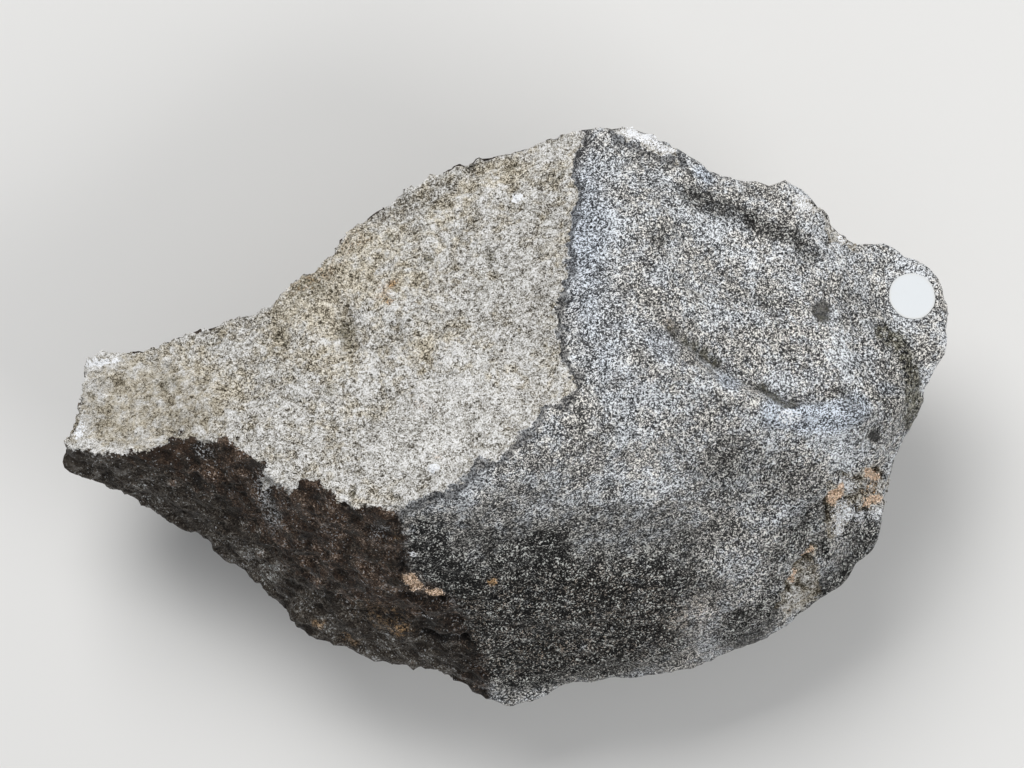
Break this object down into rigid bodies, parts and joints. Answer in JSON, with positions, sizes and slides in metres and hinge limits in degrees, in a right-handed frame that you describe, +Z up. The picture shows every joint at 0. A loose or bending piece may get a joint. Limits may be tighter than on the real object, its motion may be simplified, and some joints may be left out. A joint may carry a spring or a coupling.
{
  "type": "chondrite meteorite",
  "caption": "Stony meteorite lying on its back, with a broken grey face, a dark thumb-marked fusion crust, a brown weathered face and a round paper label.",
  "frame": {"origin": "middle of the bottom of the bounding box, on the plane of the small flat spot that the stone rests on", "axes": "+X along the stone from its tail to its blunt end, +Y towards its back edge, +Z up out of the broken and crusted faces"},
  "size_m": [0.1484, 0.097, 0.072],
  "materials": {
    "stone": "granular grey broken face, knobbly black and grey fusion crust with rubbed glints, dark brown weathered face",
    "paper": "plain white paper, bare of writing"
  },
  "bodies": {
    "root": {"meteorite": "stone", "label": "paper"}
  },
  "joints": []
}
